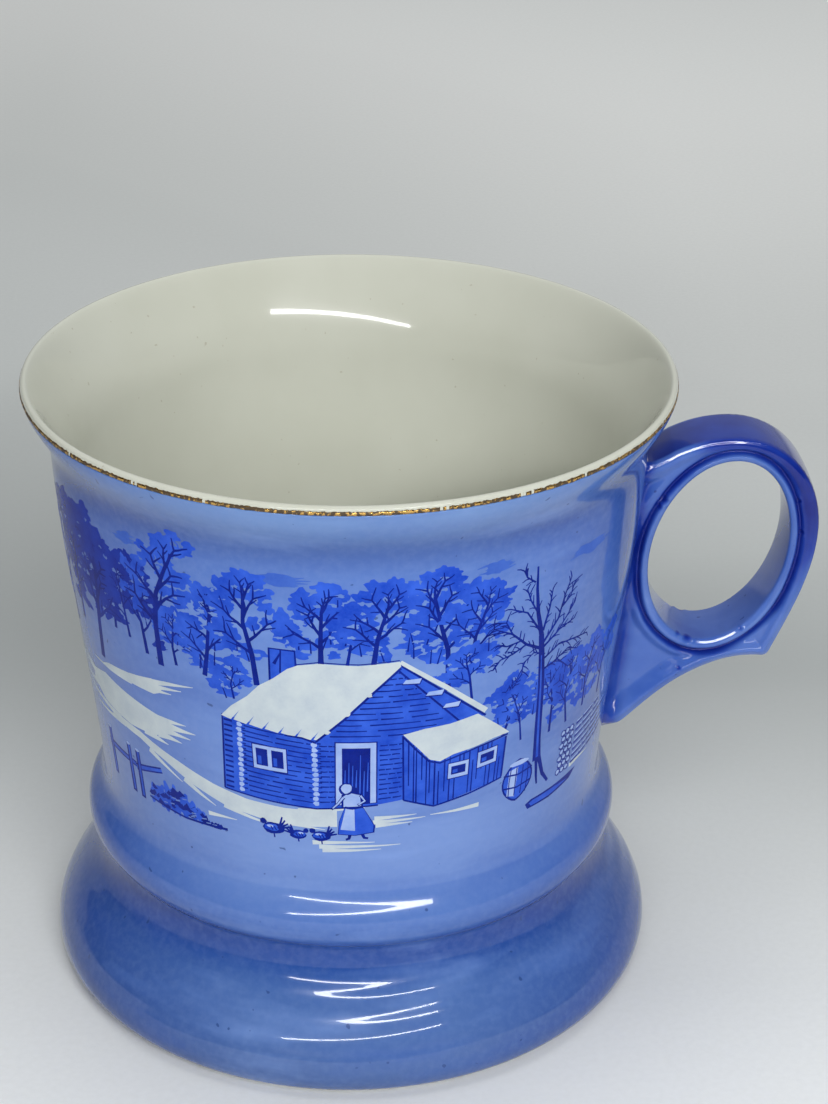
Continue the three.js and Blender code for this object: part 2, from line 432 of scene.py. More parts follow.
def make_gilt_line():
    """A ribbon on the lip's rounded outer edge, of ragged width, with gaps where it is rubbed away."""
    chance = random.Random(11)
    segments = GILT_SEGMENTS
    wear = [noise.noise(Vector((40 * math.cos(a), 40 * math.sin(a), 3)))
            for a in np.arange(segments) * 2 * math.pi / segments]
    path = np.vstack([outside[-6:], inside[1:24]])
    lengths = np.concatenate([[0], np.cumsum(np.linalg.norm(np.diff(path, axis=0), axis=1))])
    lip_edge = lengths[5]
    lift = GILT_HALF_THICKNESS
    vertices = []
    faces = []

    def on_lip(along, angle, lift):
        spot, ahead = (np.array([np.interp(along + step, lengths, path[:, k]) for k in (0, 1)])
                       for step in (0, 0.05))
        heading = (ahead - spot) / np.linalg.norm(ahead - spot)
        radius = spot[0] + heading[1] * lift
        return (radius * math.cos(angle), radius * math.sin(angle), spot[1] - heading[0] * lift)

    before = None
    for i in range(segments + 1):
        angle = i * 2 * math.pi / segments
        low = lip_edge + GILT_START + 0.08 * wear[i % segments] + chance.uniform(-0.03, 0.03)
        high = lip_edge + GILT_END + 0.14 * wear[(i * 3) % segments] + chance.uniform(-0.05, 0.05)
        start = len(vertices)
        spots = ((low, -lift), (low, lift), ((low + high) / 2, GILT_CROWN), (high, lift), (high, -lift))
        vertices.extend(on_lip(along, angle, height) for along, height in spots)
        ring = list(range(start, start + 5))
        shown = wear[(i * 7) % segments] < GILT_WORN
        if before and shown:
            faces.extend((before[k], ring[k], ring[(k + 1) % 5], before[(k + 1) % 5]) for k in range(5))
        if before and not shown:
            faces.append(before)
        if shown and not before:
            faces.append(ring[::-1])
        before = ring if shown else None
    if before:
        faces.append(before)
    settle(add_mesh("gilt_line", vertices, faces, gilt_look), "gilt", "gilt_rim_line")


# ---- the handle

BOW_REACH = HANDLE_REACH - 0.7
HANDLE_START = (42.5, 82.3)
HANDLE_OUTLINE = [
    ((44.2, 82.6), (45.6, 83.3), (47.4, 84.5)),
    ((50.4, 86), (53, 86.7), (56.4, 86.7)),
    ((63.5, 86.7), (BOW_REACH, 80.8), (BOW_REACH, 71.6)),
    ((BOW_REACH, 64.8), (66.7, 58), (63.8, 51.3)),
    ((63.5, 50.5), (63.1, 50.2), (62.3, 50.3)),
    ((59.3, 50.6), (54, 49.7), (48.6, 45.4)),
    ((45.6, 43), (43.6, 40.8), (41.7, 38.9)),
    ((40.9, 38.1), (40.2, 37.8), (39.2, 38.2)),
]
HOLE_CENTRE = np.array([54.9, 68.1])
HOLE_HALF_WIDTH = 10.1
HOLE_HALF_HEIGHT = 15
HOLE_TILT = 0.225
HALF_THICKNESS = 5
EDGE_ROUNDING = 1
EDGE_FACET = (0.27, 0.28)
EDGE_SWELL = 0.15
HOLE_ROUNDING = 0.9
HOLE_FACET = (0.28, 0.45)
HOLE_SWELL = 0.2
ROOT_SINK = 0.25
WEB_SINK = 0.7
GROOVE_DEPTH = 0.85
LEAST_HALF = 0.6
CASTING_INSET = 0.5


def hole_radius(angle):
    """The finger hole's edge, as a distance from its centre in a direction in the handle's plane."""
    turned = angle + HOLE_TILT
    return 1 / np.hypot(np.cos(turned) / HOLE_HALF_WIDTH, np.sin(turned) / HOLE_HALF_HEIGHT)


# Small faults in the casting, as (x, z, size, depth).
HANDLE_PITS = [
    (51, 53.6, 0.55, 0.28),
    (49.6, 54.4, 0.4, 0.2),
    (58.9, 55.2, 0.3, 0.15),
    (66.9, 71.2, 0.35, 0.2),
    (66.2, 76.4, 0.3, 0.18),
    (46.3, 76.7, 0.45, 0.25),
    (45.6, 75.6, 0.3, 0.15),
    (49.9, 48.6, 0.3, 0.15),
]


def rounding(distance, radius, facet):
    """How far a fettled edge falls below its face at a distance in from it. facet holds its middle slopes."""
    steps = np.linspace(0, 1, 60)
    slope = np.interp(steps, (0, 0.25, 0.75, 0.9, 1), (0, *facet, 1.6, 5))
    fall = np.append(0, np.cumsum(slope[1:] + slope[:-1]) / 2 * steps[1])
    return radius * np.interp(1 - distance / radius, steps, fall)


def bell(value, centre, width):
    return np.exp(-(((value - centre) / width) ** 2))


def distance_to(points, path):
    """The distance from each point to the nearest stretch of a path, in the handle's plane."""
    best = np.full(points.shape[:-1], 1e9)
    for a, b in zip(path[:-1], path[1:]):
        ab = b - a
        t = np.clip(((points - a) @ ab) / (ab @ ab), 0, 1)
        best = np.minimum(best, np.linalg.norm(points - (a + t[..., None] * ab), axis=-1))
    return best


def handle_relief(from_hole, from_edge, from_wall, spot):
    """The face's height over the middle plane, before its edges are rounded, and how deep its glaze pools."""
    low = smooth_step(66, 56, spot[..., 1])
    groove_at = 1.6 + 0.45 * low
    web = smooth_step(2.9, 4.4, from_hole) * smooth_step(2.4, 3.6, from_edge)
    relief = HALF_THICKNESS - WEB_SINK * web
    relief -= 0.35 * smooth_step(1.2, 2.6, from_edge) * smooth_step(1.6, 2.4, from_hole)
    relief += 0.14 * bell(from_hole, groove_at / 2, 0.5)
    relief -= GROOVE_DEPTH * bell(from_hole, groove_at, 0.42)
    relief += (0.15 + 0.4 * low) * bell(from_edge, 1.5, 0.9)
    fillet = (1 - low) * np.exp(-from_wall / 0.4) + 1.6 * low * np.exp(-from_wall / 0.6)
    relief += fillet * smooth_step(0, 2.4, from_edge) - 0.35 * low * bell(from_wall, 1.6, 0.8)
    bow = smooth_step(57, 65, spot[..., 0] + 0.55 * (spot[..., 1] - 68))
    bow *= smooth_step(1.8, 2.8, from_hole) * smooth_step(60, 74, spot[..., 1])
    pooling = 0.42 + 0.6 * bell(from_hole, groove_at, 0.55) - 0.1 * bell(from_hole, groove_at / 2, 0.5)
    pooling += 0.42 * np.exp(-((from_wall / 1.2) ** 2)) + 0.18 * low * bell(from_wall, 1.5, 0.7)
    pooling += 0.5 * bow - 0.06 * bell(from_edge, 0.4, 0.3) - 0.05 * web
    return relief, pooling


def handle_rays(free_edge, rays, inset):
    """Rays from the hole's centre: their directions, inner and outer ends, and which meet the wall."""
    wall_heights = np.linspace(38.1, 82.5, 40)
    wall = np.stack([true_radius(wall_heights) - (ROOT_SINK + inset), wall_heights], 1)
    outline = np.vstack([free_edge, wall]) - HOLE_CENTRE
    bearing = np.arctan2(outline[:, 1], outline[:, 0])
    order = np.argsort(bearing)
    angles = -math.pi + np.arange(rays) * 2 * math.pi / rays
    outer = np.interp(angles, bearing[order], np.hypot(*outline[order].T), period=2 * math.pi)
    soft = np.exp(-(np.arange(-4, 5) / 2) ** 2)
    outer = np.convolve(np.r_[outer[-4:], outer, outer[:4]], soft / soft.sum(), "valid")
    direction = np.stack([np.cos(angles), np.sin(angles)], 1)
    ends = HOLE_CENTRE + outer[:, None] * direction
    at_wall = smooth_step(1, 0.2, ends[:, 0] - true_radius(ends[:, 1]))
    at_wall = at_wall * (ends[:, 1] < 83) * (ends[:, 0] < 50)
    return direction, hole_radius(angles) + inset, outer - inset * (1 - at_wall), at_wall


def places_across(width, across):
    """Distances from the hole along each ray, close together over the rounded edges and the groove."""
    corner = 1 - np.cos(np.linspace(0, math.pi / 2, 10))
    fine = np.r_[HOLE_ROUNDING * corner, np.linspace(HOLE_ROUNDING, 3, 18)[1:]]
    middle = np.linspace(0, 1, across + 2)[1:-1]
    squeeze = np.minimum(1, (width - EDGE_ROUNDING) / 3.05)[:, None]
    near = fine * squeeze
    far = width[:, None] - EDGE_ROUNDING * corner[::-1]
    return np.hstack([near, near[:, -1:] + middle * (far[:, :1] - near[:, -1:]), far])


def handle_face(plane, stations, from_edge, inset):
    """The face with its faults and its rounded edges, and how deep its glaze pools."""
    from_wall = np.maximum(plane[..., 0] - true_radius(plane[..., 1]), 0)
    face, pooling = handle_relief(stations + inset, from_edge, from_wall, plane)
    face += 0.09 * np.array([[noise.noise(Vector((x * 0.16, z * 0.16, 7))) for x, z in row] for row in plane])
    if not inset:
        for x, z, size, depth in HANDLE_PITS:
            spot = np.hypot(plane[..., 0] - x, plane[..., 1] - z)
            face += 0.5 * depth * bell(spot, size * 1.6, size * 0.5) - depth * bell(spot, 0, size)
            pooling += 0.4 * bell(spot, 0, size)
    face -= inset + rounding(from_edge - inset, EDGE_ROUNDING, EDGE_FACET)
    face -= rounding(stations, HOLE_ROUNDING, HOLE_FACET)
    return np.maximum(face, LEAST_HALF), pooling


def make_handle(name, look, inset=0, rays=720, across=34):
    """The handle as rays from the hole's centre, each with a section that runs round from face to face."""
    free_edge = bezier_path(HANDLE_START, HANDLE_OUTLINE, 18)
    direction, inner, outer, at_wall = handle_rays(free_edge, rays, inset)
    width = outer - inner
    stations = places_across(width, across)
    plane = HOLE_CENTRE + (inner[:, None] + stations)[..., None] * direction[:, None]
    from_edge = distance_to(plane, free_edge)
    straight = width[:, None] - stations + inset
    from_edge = np.where(at_wall[:, None] > 0.5, from_edge, np.minimum(from_edge, straight))
    face, pooling = handle_face(plane, stations, from_edge, inset)

    def at(reach):
        return HOLE_CENTRE + reach[:, None] * direction

    # Each section: up the hole's wall, over the face and down the outside, then the same behind.
    steps = np.linspace(0, 1, 9)[:-1]
    swell = EDGE_SWELL * (1 - at_wall)
    shrink = swell[:, None] * smooth_step(EDGE_ROUNDING, 0, width[:, None] - stations)
    plane = plane - shrink[..., None] * direction[:, None]
    section = [(at(inner - HOLE_SWELL * (1 - k * k)), face[:, 0] * k) for k in steps]
    section += [(plane[:, k], face[:, k]) for k in range(stations.shape[1])]
    section += [(at(outer - swell * k * k), face[:, -1] * k) for k in steps[::-1]]
    # Painted shade: the outer rim is darker where it faces up, along the handle's top.
    rim = 0.5 + 0.38 * smooth_step(-0.3, 0.5, direction[:, 1])
    pools = [np.full(rays, 0.45)] * len(steps) + list(pooling.T) + [rim] * len(steps)
    vertices = []
    for spot, y in [(spot, -half) for spot, half in section] + section[-2:0:-1]:
        bend = wall_bend(spot, y)
        vertices.append(np.stack([spot[:, 0] - bend, y, spot[:, 1]], 1))
    vertices = np.array(vertices)
    rings = np.arange(len(vertices) * rays).reshape(-1, rays)
    piece = add_mesh(name, vertices.reshape(-1, 3), skin([*rings, rings[0]]), look)
    # The pooling attribute also carries the rim's painted shade.
    layer = piece.data.attributes.new("pooling", "FLOAT", "POINT")
    layer.data.foreach_set("value", np.clip(np.array(pools + pools[-2:0:-1]), 0, 1).ravel())
    return piece


def wall_bend(spot, y):
    """How far the handle's root moves in to stay on the round wall away from the middle plane."""
    radius = true_radius(spot[:, 1])
    away = np.maximum(spot[:, 0] - radius, 0)
    return (radius - np.sqrt(radius**2 - y**2)) * np.exp(-away / 1.6)


def make_luting_slip():
    """The slip between the wall and the handle's root, hidden under both glazes."""
    heights = np.linspace(41, 80, 14)
    section = ((-0.3, -3), (0.25, -3.2), (0.5, -2), (0.55, 0), (0.5, 2), (0.25, 3.2), (-0.3, 3))
    vertices = [(math.sqrt((true_radius(height) - GLAZE + x) ** 2 - y * y), y, height)
                for height in heights for x, y in section]
    rings = np.arange(len(vertices)).reshape(-1, len(section))
    piece = add_mesh("luting_slip", vertices, [rings[0][::-1], rings[-1], *skin(rings)], bisque_look)
    settle(piece, "bisque_porcelain", "handle_luting_slip")


# ---- the printed scene

# The radius where a millimetre of the drawing is a millimetre round the wall.
SCALE_RADIUS = 42
INK_LIFT = 0.02
INK_DEPTH = 0.03
LATTICE = 1.4
LEAST_AREA = 1e-4
WELD = 1e-4
PRINT_LOW = 36
PRINT_HIGH = 86
PRINT_LEFT = -184
PRINT_SEAM = -58.5
PRINT_RIGHT = 52.5
FIRST_BOUGH = 0.35
CLUMP = 1.2
SKY_GAPS = 9


class Drawing:
    """Shapes in millimetres along the wall and up it. A later shape covers an earlier one."""

    def __init__(self, seed):
        self.shapes = []
        self.chance = random.Random(seed)
        self.vary = self.chance.uniform
        self.origin = np.zeros(2)

    def moved(self, x, z):
        """The same drawing with its origin at another place."""
        view = copy.copy(self)
        view.origin = self.origin + (x, z)
        return view

    def fill(self, colour, points):
        """A shape given in the drawing's own place."""
        self.add(colour, [self.origin + p for p in points])

    def add(self, colour, points):
        """Keeps a shape, counter-clockwise, unless it is too thin to cut."""
        points = [tuple(map(float, p)) for p in points]
        area = sum(a[0] * b[1] - b[0] * a[1] for a, b in zip(points, points[1:] + points[:1]))
        if abs(area) > LEAST_AREA:
            self.shapes.append((colour, points if area > 0 else points[::-1]))

    def line(self, points, start, end=None, colour="dark"):
        """A line whose width runs from start to end. Each stretch of it is one convex shape."""
        end = start if end is None else end
        path = self.origin + np.array(points, float)
        along = np.gradient(path, axis=0)
        along /= np.maximum(np.linalg.norm(along, axis=1), 1e-9)[:, None]
        side = np.stack([-along[:, 1], along[:, 0]], 1)
        half = np.linspace(start, end, len(path))[:, None] / 2
        left, right = path + side * half, path - side * half
        for i in range(len(path) - 1):
            self.add(colour, [right[i], right[i + 1], left[i + 1], left[i]])

    def blob(self, colour, x, z, width, height, rough=0.16, points=22):
        """A rounded shape with an uneven, lobed edge."""
        waves = [(lobes, self.vary(0, 6.3), rough * size)
                 for lobes, size in ((2, 0.7), (3, 0.9), (5, 1), (7, 0.6))]
        outline = []
        for k in range(points):
            a = k * 2 * math.pi / points
            r = 1 + sum(size * math.sin(lobes * a + phase) for lobes, phase, size in waves)
            outline.append((x + r * width * math.cos(a), z + r * height * math.sin(a)))
        self.fill(colour, outline)

    def tuft(self, colour, start, end, width):
        """A dry brush stroke that thins out towards its end, with a split tip."""
        start, end = np.array(start, float), np.array(end, float)
        middle = (start + end) / 2 + (0, self.vary(-0.15, 0.15))
        self.line([start, (start + middle) / 2, middle, (middle + end) / 2, end], width, 0.08, colour=colour)

    def drift(self, points, tips, width=0.9):
        """A patch of snow: a solid body, and brush strokes that run out of it, as (start, end) pairs."""
        self.fill("white", points)
        for start, end in tips:
            self.tuft("white", start, end, width * self.vary(0.8, 1.2))


def sprig(d, start, heading, length, width, depth, tips, lines):
    """A branch that bends, and the ones that fork from it. Its tips and its lines are added to two lists."""
    points = [np.array(start, float)]
    for _ in range(3):
        heading += d.vary(-0.22, 0.22)
        points.append(points[-1] + length / 3 * np.array((math.cos(heading), math.sin(heading))))
    lines.append((points, width, max(width * 0.5, 0.14)))
    tips.append(points[-1])
    if depth:
        for at, side in ((1, 1), (2, -1), (3, 1), (3, -1)):
            bearing = heading + side * d.vary(0.35, 0.95)
            reach = length * d.vary(0.4, 0.62)
            sprig(d, points[at], bearing, reach, max(width * 0.6, 0.17), depth - 1, tips, lines)


def tree(d, trunk, width, boughs, reach, crown="mid"):
    """A winter tree from its trunk's points. Clumps of tint hang on its twigs, with gaps of sky between."""
    trunk = np.array(trunk, float)
    share = np.linspace(0, 1, len(trunk))
    tips, lines = [], []
    for k in range(boughs):
        at = FIRST_BOUGH + (0.97 - FIRST_BOUGH) * k / (boughs - 1)
        spot = np.array([np.interp(at, share, trunk[:, axis]) for axis in (0, 1)])
        side = (-1) ** (k + len(d.shapes) % 2)
        heading = math.pi / 2 + side * d.vary(0.55, 0.95) * (1.25 - 0.6 * at)
        length = reach * (1.15 - 0.5 * at) * d.vary(0.85, 1.1)
        sprig(d, spot, heading, length, width * 0.5, 1, tips, lines)
    sprig(d, trunk[-1], math.pi / 2, reach * 0.5, width * 0.4, 1, tips, lines)
    for x, z in tips:
        d.blob(crown, x, z + 0.2, CLUMP * d.vary(0.75, 1.25), CLUMP * d.vary(0.6, 0.95))
    for _ in range(SKY_GAPS):
        x, z = d.chance.choice(tips) + (d.vary(-1.5, 1.5), d.vary(-2.2, 0))
        d.blob("ground", x, z, d.vary(0.25, 0.7), d.vary(0.2, 0.45))
    d.line(trunk, width * 0.85, width * 0.45)
    for points, first, last in lines:
        d.line(points, first, last)


def thicket(d, left, right, low, high, clumps, colour="mid"):
    """Brush along the foot of a row of trees: clumps of tint, gaps of snow and upright twigs."""
    spots = [(d.vary(left, right), d.vary(low, high)) for _ in range(clumps)]
    for x, z in spots:
        d.blob(colour, x, z, d.vary(0.9, 1.8), d.vary(0.6, 1.2))
    for x, z in spots:
        if d.chance.random() < 0.7:
            d.blob("ground", x + d.vary(-1.5, 1.5), z + d.vary(-1, 1), d.vary(0.3, 0.8), d.vary(0.2, 0.45))
        if d.chance.random() < 0.35:
            lean = d.vary(-0.8, 0.8)
            d.line([(x, z - 1), (x + lean * 0.4, z), (x + lean, z + 1.3)], 0.24, 0.14)


def log_courses(d, corners, courses):
    """Broken dark lines along a wall of logs. The corners run low left, low right, high right, high left."""
    low_left, low_right, high_right, high_left = np.array(corners, float)
    for k in range(1, courses):
        t = k / courses
        a = low_left * (1 - t) + high_left * t
        b = low_right * (1 - t) + high_right * t
        at = d.vary(0, 0.06)
        while at < 0.95:
            end = min(at + d.vary(0.2, 0.6), 0.985)
            wobble = d.vary(-0.06, 0.06)
            points = [a + (b - a) * at, a + (b - a) * (at + end) / 2 + (0, wobble), a + (b - a) * end]
            d.line(points, 0.25, 0.17)
            at = end + d.vary(0.03, 0.1)


def planks(d, corners, count):
    """Upright dark lines on a boarded wall, some of them broken."""
    low_left, low_right, high_right, high_left = np.array(corners, float)
    for k in range(1, count):
        t = (k + d.vary(-0.25, 0.25)) / count
        foot = low_left * (1 - t) + low_right * t
        head = high_left * (1 - t) + high_right * t
        reach = d.chance.choice((1, 1, 0.55, 0.75))
        if d.chance.random() < 0.5:
            d.line([foot, foot + (head - foot) * reach], 0.24, 0.16)
        else:
            d.line([head, head + (foot - head) * reach], 0.24, 0.16)


def log_ends(d, low, high, width):
    """The column of pale log ends at a corner of the cabin, each with a dark line beside it."""
    low, high = np.array(low, float), np.array(high, float)
    count = int((high[1] - low[1]) / 0.85)
    for k in range(count):
        spot = low + (high - low) * (k + 0.5) / count
        d.line([spot + (width, 0.3), spot + (width + 0.5, 0.3)], 0.24)
        d.blob("pale", spot[0] + d.vary(-0.08, 0.08), spot[1], width, 0.4, 0.1, 10)


def window(d, x, z, wide, tall, panes=1, slope=0):
    """A framed window with dark panes. x and z are its lower left corner."""
    def pane(colour, left, right, low, high):
        corners = ((left, low), (right, low), (right, high), (left, high))
        d.fill(colour, [(px, pz + slope * (px - x)) for px, pz in corners])

    pane("dark", x - 0.15, x + wide + 0.15, z - 0.15, z + tall + 0.15)
    pane("pale", x, x + wide, z, z + tall)
    each = (wide - 0.9 - 0.6 * (panes - 1)) / panes
    for k in range(panes):
        left = x + 0.45 + k * (each + 0.6)
        pane("dark", left, left + each, z + 0.6, z + tall - 0.55)
        pane("mid", left + 0.25, left + each * 0.45, z + 0.85, z + tall * 0.55)


def hanging_edge(d, start, end, teeth, depth):
    """Points along an eave from left to right, with tongues of snow that slant down to the left."""
    start, end = np.array(start, float), np.array(end, float)
    points = [start]
    for k in range(teeth):
        base = start + (end - start) * (k + 0.7) / teeth
        notch = depth * d.vary(0.6, 1.4)
        points += [base + (-0.15, -0.12), base + (notch * 0.75, notch), base + (0.28, -0.05)]
    return points + [end]


def chimney(d):
    d.fill("mid", [(-11.1, 67), (-7.4, 69), (-7.5, 72.4), (-11, 72.5)])
    d.line([(-11.1, 67), (-11, 72.5), (-7.5, 72.4), (-7.4, 69.8)], 0.3)
    d.line([(-9.6, 68.6), (-9.4, 72.4)], 0.24)
    d.line([(-10.4, 70), (-9.5, 71.8)], 0.5, 0.2)


def log_walls(d):
    """The long side and the gable end, in courses of logs with pale log ends at the corners."""
    side = [(-19.5, 46.9), (-5.2, 45.7), (-5, 58.2), (-18.6, 60)]
    front = [(-5.2, 45.7), (3.9, 46.4), (8, 47), (15, 47.2), (19, 59.2), (15.5, 59.4), (6.6, 69.6),
             (-5, 58.2)]
    d.fill("mid", side)
    d.fill("mid", front)
    log_courses(d, [(-16, 46.6), (-5.6, 45.8), (-5.6, 58.6), (-16, 59.6)], 15)
    log_courses(d, [(-4.6, 45.9), (-2.2, 46.1), (-2.2, 57.6), (-4.6, 57.6)], 13)
    log_courses(d, [(3.9, 46.5), (7.4, 46.8), (7.4, 57.6), (3.9, 57.6)], 13)
    for k in range(12):
        z = 58.4 + 0.95 * k
        reach = (69.6 - z) / 11.6
        log_courses(d, [(6.5 - 10.6 * reach, z - 0.5), (6.5 + 8.4 * reach, z - 0.5),
                        (6.5 + 8.4 * reach, z + 0.5), (6.5 - 10.6 * reach, z + 0.5)], 2)
    for k in range(14):
        z = 47.4 + 0.9 * k
        d.line([(-19.2 + 0.05 * k, z), (-17.9 + 0.05 * k, z - 0.05)], 0.34)
    d.line([(-19.5, 46.9), (-12, 46.1), (-5.2, 45.6), (3.9, 46.3)], 0.26)
    d.line([(-19.5, 46.9), (-18.7, 60)], 0.3)
    log_ends(d, (-16.6, 46.9), (-16.2, 59.2), 0.42)
    log_ends(d, (-5.2, 46.1), (-5.3, 57.2), 0.46)


def right_slope(d):
    """The right slope's underside with its purlin ends, and the rim of snow along its edge."""
    d.fill("mid", [(6.6, 70), (19.6, 59.2), (15.4, 59.3), (6.6, 69)])
    d.line([(6.4, 69.2), (11, 64.2), (15.5, 59.3)], 0.3)
    d.line([(6.6, 70.1), (13, 64.8), (19.7, 59.2)], 0.34)
    for x, z in ((7, 67.3), (10.3, 64.9), (12.9, 62.4)):
        d.fill("pale", [(x, z - 0.35), (x + 2.3, z - 0.5), (x + 2.6, z + 0.3), (x + 0.4, z + 0.25)])
        d.line([(x - 0.1, z - 0.45), (x + 2.4, z - 0.6), (x + 2.7, z + 0.3)], 0.2)
    d.line([(6.6, 70.6), (13.1, 65.6), (19.7, 60)], 0.6, 0.85, colour="white")


def left_slope(d):
    """The left slope under snow, with tongues that hang from its eave."""
    eave = hanging_edge(d, (-18.9, 59.7), (-4.9, 57.7), 6, 1.5)
    ridge = [(-1, 61.6), (2.6, 65.6), (6.7, 69.9), (6.5, 70.7), (1, 70.3), (-4.4, 70.6), (-7.2, 70.1),
             (-8.6, 69.4), (-10.6, 67.6), (-12.8, 66), (-14.6, 63.9), (-17.2, 61.7)]
    d.fill("white", eave + ridge)
    d.line([(-5, 57.4), (-1, 61.3), (2.6, 65.3), (6.7, 69.6)], 0.34)
    d.line([(6.5, 70.9), (1, 70.5), (-4.4, 70.8), (-7.4, 70.2)], 0.16)
    d.line([(-9.5, 58.1), (-7, 57.9), (-5, 57.2)], 0.28, 0.36)
    for x, z in ((-3.4, 59.1), (-0.6, 62.2), (2.4, 65.4)):
        d.blob("white", x, z, 0.5, 0.32, 0.1, 10)


def door(d):
    d.fill("dark", [(-2.5, 46.3), (3.8, 46.7), (3.7, 57.5), (-2.4, 57.5)])
    d.fill("pale", [(-2.3, 46.4), (3.6, 46.8), (3.5, 57.3), (-2.2, 57.3)])
    d.fill("dark", [(-1.4, 46.4), (2.75, 46.7), (2.7, 56.4), (-1.35, 56.4)])
    for k in range(7):
        x = -1 + 0.55 * k
        d.line([(x, 47.6 + d.vary(0, 2)), (x + 0.1, 53.8 + d.vary(-2, 1.6))], 0.22, 0.1, colour="mid")


def lean_to(d):
    near = [(7.7, 46.9), (12.4, 45.1), (12.2, 53), (7.4, 58)]
    face = [(12.4, 45.1), (23.6, 47.2), (23.7, 54.3), (12.2, 53)]
    d.fill("mid", near)
    d.fill("mid", face)
    planks(d, near, 7)
    planks(d, face, 15)
    d.line([(7.7, 46.8), (12.4, 45), (18, 45.9), (23.7, 47.1)], 0.3)
    d.line([(23.6, 47.2), (23.7, 54.3)], 0.34)
    d.line([(12.4, 45.2), (12.2, 53.2)], 0.26)
    d.line([(7.7, 46.8), (7.3, 58)], 0.28)
    d.fill("white", [(7.3, 58.3), (9.6, 55.6), (11.4, 53.4), (13, 52.8), (15, 53.6), (18.6, 54.1),
                     (21.4, 54.7), (24.2, 54.9), (21.6, 57.2), (18.4, 59.8), (14.2, 59.1), (10.4, 58.9)])
    d.line([(7.2, 58.1), (9.4, 55.3), (11.3, 53.1), (13, 52.5), (18.6, 53.8), (24, 54.6)], 0.3)
    window(d, 14.4, 49.4, 3.2, 2.6, 1, 0.02)
    window(d, 19.1, 50.1, 3.2, 2.7, 1, 0.1)


def cabin(d):
    """A log cabin under snow, with a chimney behind the ridge and a lean-to at its right."""
    chimney(d)
    log_walls(d)
    right_slope(d)
    left_slope(d)
    window(d, -14.4, 51.7, 5, 4.1, 2, -0.04)
    door(d)
    lean_to(d)


BARE_LIMBS = [
    ([(28.3, 67.6), (25.4, 69.3), (22.8, 71.8), (20.2, 73.2)], 0.62),
    ([(25.4, 69.3), (23.2, 68.4), (21.2, 68), (20.2, 66.6)], 0.36),
    ([(28, 70.2), (25, 74.6), (22.2, 76)], 0.42),
    ([(24.4, 70.2), (22, 70), (20.6, 70.6)], 0.3),
    ([(22.8, 71.8), (21.6, 74), (20, 74.4)], 0.3),
    ([(25.9, 79.2), (24.4, 80.4), (23.8, 81.6)], 0.34),
    ([(28.2, 70.6), (29, 74.2), (29.2, 77)], 0.5),
    ([(28.6, 68.6), (31, 71.6), (31.8, 75), (32.8, 77.6)], 0.55),
    ([(31.4, 73.2), (33, 74.4), (33.6, 76.4)], 0.32),
    ([(28.8, 67.8), (31.6, 69.6), (34.6, 70.2)], 0.5),
    ([(31.2, 69.4), (33.2, 71.8), (34.2, 73)], 0.3),
    ([(29, 65.6), (31.8, 67), (35, 66.6), (38.4, 66.1)], 0.42),
    ([(29.2, 63.8), (32, 64.4), (34.8, 62)], 0.45),
    ([(31, 64.2), (34, 65.4), (36.4, 64.4)], 0.28),
    ([(29.2, 66.4), (27, 67.4), (25.2, 66.2), (25.2, 64.4)], 0.3),
    ([(27.2, 73.4), (25.4, 76.4), (24.6, 78.4)], 0.34),
]


def bare_tree(d, shift=0, drop=0):
    """A tall leafless tree: a forked root, a leaning trunk, drawn limbs and twigs along every limb."""
    d = d.moved(shift, drop)
    for points, start, end, colour in (
        ([(34, 42.4), (32.4, 44.4), (31, 48), (30.4, 51)], 0.5, 1, "dark"),
        ([(31.4, 42.9), (31, 44.6), (30.3, 49)], 0.3, 0.7, "dark"),
        ([(30.5, 47.5), (29.8, 55), (29.3, 61), (28.6, 66), (28, 70)], 1.5, 0.95, "dark"),
        ([(28, 70), (26.9, 74), (26.3, 78), (26.1, 81.6)], 0.85, 0.28, "dark"),
        ([(30.6, 48), (29.8, 55), (29.2, 61), (28.5, 66.4)], 0.5, 0.2, "mid"),
    ):
        d.line(points, start, end, colour)
    for limb, width in BARE_LIMBS:
        points = np.array(limb, float)
        d.line(points, width * 0.85, 0.18)
        for a, b in zip(points[:-1], points[1:]):
            for share in (0.25, 0.5, 0.75, 1):
                heading = math.atan2(*(b - a)[::-1]) + d.chance.choice((-1, 1)) * d.vary(0.45, 1)
                spot = a + (b - a) * share
                length = d.vary(0.8, 1.9)
                tip = spot + length * np.array((math.cos(heading), math.sin(heading)))
                d.line([spot, (spot + tip) / 2 + (0, 0.12), tip], 0.22, 0.13)


def barrel(d, x, z, wide, tall):
    """A hooped barrel about a centre. wide and tall are its half sizes."""
    d = d.moved(x, z)
    shell = [(wide * math.cos(a) * (1 - 0.16 * abs(math.sin(a)) ** 3),
              tall * math.sin(a) * (1 - 0.12 * abs(math.cos(a)))) for a in np.arange(24) * math.pi / 12]
    d.fill("dark", shell)
    d.fill("mid", 0.9 * np.array(shell))
    staves = np.array([(-0.62, -0.62), (-0.1, -0.75), (-0.05, 0.62), (-0.6, 0.55)])
    d.fill("pale", staves * (wide, tall))
    d.blob("pale", 0, tall * 0.8, wide * 0.62, tall * 0.12, 0.03, 14)
    for level in (-0.32, 0.28):
        hoop = np.array([(-0.93, level + 0.1), (0, level - 0.03), (0.93, level + 0.1)])
        d.line(hoop * (wide, tall), 0.3)
    for k in (-0.5, -0.12, 0.28, 0.62):
        d.line(np.array([(k, -0.72), (k * 1.1, 0), (k, 0.62)]) * (wide, tall), 0.2)


